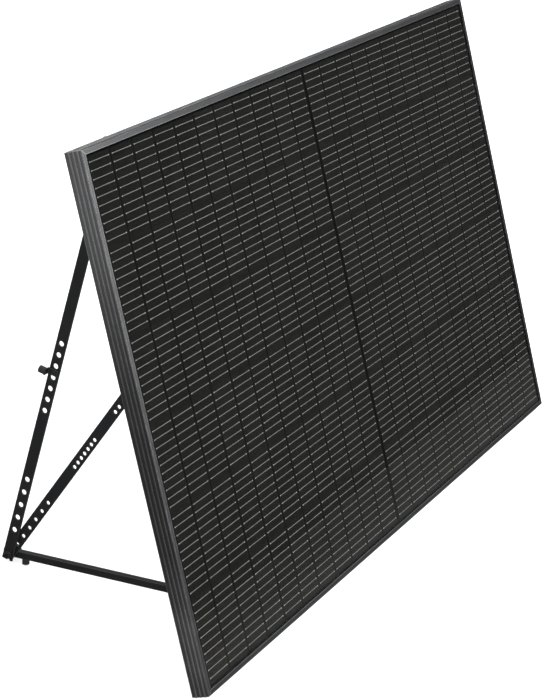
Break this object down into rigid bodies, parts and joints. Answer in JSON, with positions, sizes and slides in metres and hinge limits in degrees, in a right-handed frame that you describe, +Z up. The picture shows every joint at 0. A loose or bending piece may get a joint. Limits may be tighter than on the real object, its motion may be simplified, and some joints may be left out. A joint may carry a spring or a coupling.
{
  "type": "solar panel",
  "caption": "Framed half-cut solar panel, landscape, leaning on two folding side stands of flat bars with adjustment holes",
  "frame": {"origin": "on the ground, under the middle of the object's box", "axes": "+X along the panel's long side, -Y is the side that the glass faces, +Z up; the glass slopes at 60 degrees"},
  "size_m": [2.094, 0.6209, 0.9999],
  "materials": {
    "frame": "black anodised, satin",
    "bare_metal": "bare and bright, as the tinned wires on the cells are",
    "glass": "clear, low-iron, tempered",
    "clear_film": "clear",
    "cell": "near-black silicon with fine fingers",
    "ribbon": "copper ribbon under black lacquer",
    "backsheet": "black, matte",
    "sealant": "black, matte",
    "box_plastic": "black, fine grain",
    "stand_metal": "black powder coat",
    "hardware": "black oxide",
    "cap_plastic": "black",
    "rubber": "black, matte"
  },
  "bodies": {
    "panel": {"frame_bottom": "frame", "frame_top": "frame", "frame_left": "frame", "frame_right": "frame", "corner_keys": "bare_metal", "glass": "glass", "front_film": "clear_film", "rear_film": "clear_film", "cells_left": "cell", "cells_right": "cell", "tab_ribbons": "ribbon", "bus_bars": "ribbon", "backsheet": "backsheet", "frame_seal": "sealant", "junction_box_lower": "box_plastic", "junction_box_middle": "box_plastic", "junction_box_upper": "box_plastic", "box_lid_lower": "box_plastic", "box_lid_middle": "box_plastic", "box_lid_upper": "box_plastic", "bypass_diodes": "box_plastic", "cable_glands": "box_plastic", "left_rail": "stand_metal", "right_rail": "stand_metal", "rail_bolts": "hardware", "rail_nuts": "hardware", "strut_pivot_bolts": "hardware", "brace_pivot_bolts": "hardware", "leg_pivot_bolts": "hardware", "pivot_nuts": "hardware", "strut_sleeves": "hardware", "brace_sleeves": "hardware", "leg_sleeves": "hardware"},
    "left_brace_arm": {"left_brace": "stand_metal", "left_vertex_bolt": "hardware", "left_vertex_washers": "hardware", "left_vertex_foot": "rubber", "left_vertex_nut": "hardware"},
    "left_strut_arm": {"left_strut": "stand_metal", "left_buffer_clip": "stand_metal", "left_clip_rivet": "hardware", "left_strut_buffer": "rubber"},
    "left_leg_arm": {"left_leg": "stand_metal", "left_leg_caps": "cap_plastic", "left_leg_buffer": "rubber"},
    "right_brace_arm": {"right_brace": "stand_metal", "right_vertex_bolt": "hardware", "right_vertex_washers": "hardware", "right_vertex_foot": "rubber", "right_vertex_nut": "hardware"},
    "right_strut_arm": {"right_strut": "stand_metal", "right_buffer_clip": "stand_metal", "right_clip_rivet": "hardware", "right_strut_buffer": "rubber"},
    "right_leg_arm": {"right_leg": "stand_metal", "right_leg_caps": "cap_plastic", "right_leg_buffer": "rubber"}
  },
  "joints": [
    {"name": "left_brace_fold", "type": "hinge", "parent": "panel", "child": "left_brace_arm", "pos_m": [-0.8794, 0.07373, 0.56735], "axis": [-1, 0, 0], "range_deg": [0, 49.9]},
    {"name": "left_strut_fold", "type": "hinge", "parent": "panel", "child": "left_strut_arm", "pos_m": [-0.885, 0.27423, 0.91462], "axis": [-1, 0, 0], "range_deg": [0, 30]},
    {"name": "left_leg_fold", "type": "hinge", "parent": "panel", "child": "left_leg_arm", "pos_m": [-0.8683, -0.18227, 0.12394], "axis": [1, 0, 0], "range_deg": [0, 73.56]},
    {"name": "right_brace_fold", "type": "hinge", "parent": "panel", "child": "right_brace_arm", "pos_m": [0.8794, 0.07373, 0.56735], "axis": [-1, 0, 0], "range_deg": [0, 49.9]},
    {"name": "right_strut_fold", "type": "hinge", "parent": "panel", "child": "right_strut_arm", "pos_m": [0.885, 0.27423, 0.91462], "axis": [-1, 0, 0], "range_deg": [0, 30]},
    {"name": "right_leg_fold", "type": "hinge", "parent": "panel", "child": "right_leg_arm", "pos_m": [0.8683, -0.18227, 0.12394], "axis": [1, 0, 0], "range_deg": [0, 73.56]}
  ],
  "couplings": [
    {"joint": "left_strut_fold", "follows": "left_brace_fold", "ratio": 0.60079},
    {"joint": "left_leg_fold", "follows": "left_brace_fold", "ratio": 1.4716},
    {"joint": "right_strut_fold", "follows": "right_brace_fold", "ratio": 0.60079},
    {"joint": "right_leg_fold", "follows": "right_brace_fold", "ratio": 1.4716}
  ]
}
